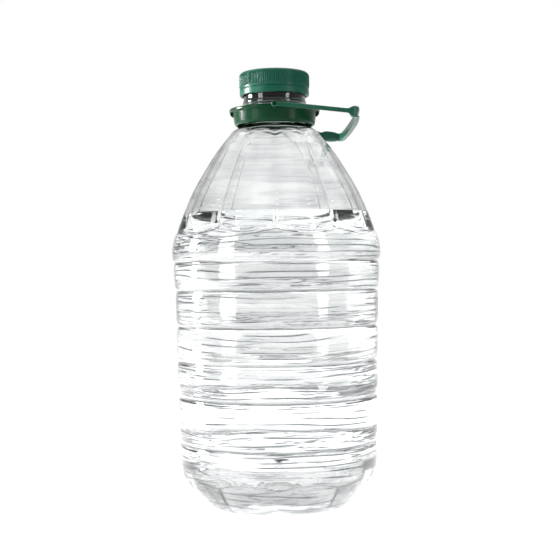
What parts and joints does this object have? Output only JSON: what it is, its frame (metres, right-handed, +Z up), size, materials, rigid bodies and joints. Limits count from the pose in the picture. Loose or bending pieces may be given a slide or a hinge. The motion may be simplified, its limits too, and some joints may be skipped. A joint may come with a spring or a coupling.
{
  "type": "large plastic water bottle",
  "caption": "Large clear ribbed water bottle with petalled shoulder and heel, green screw cap, neck collar and hinged carrying bail, filled with water.",
  "frame": {"origin": "middle of the base, on the surface that the bottle stands on", "axes": "+Z up along the bottle's axis, the bail handle lies to +X, the front faces -Y"},
  "size_m": [0.1606, 0.1606, 0.33],
  "materials": {
    "clear_plastic": "clear thin PET, glossy, slightly wavy",
    "water": "clear still water",
    "green_plastic": "moulded polyethylene, satin gloss"
  },
  "bodies": {
    "vessel": {"bottle": "clear_plastic", "water": "water", "cap": "green_plastic"},
    "collar": {"collar": "green_plastic"},
    "bail": {"handle": "green_plastic"}
  },
  "joints": [
    {"name": "collar_swivel", "type": "hinge", "parent": "vessel", "child": "collar", "pos_m": [0, 0, 0.2993], "axis": [0, 0, 1], "continuous": true},
    {"name": "bail_hinge", "type": "hinge", "parent": "collar", "child": "bail", "pos_m": [0, 0, 0.3012], "axis": [0, -1, 0], "range_deg": [-15, 215]}
  ]
}
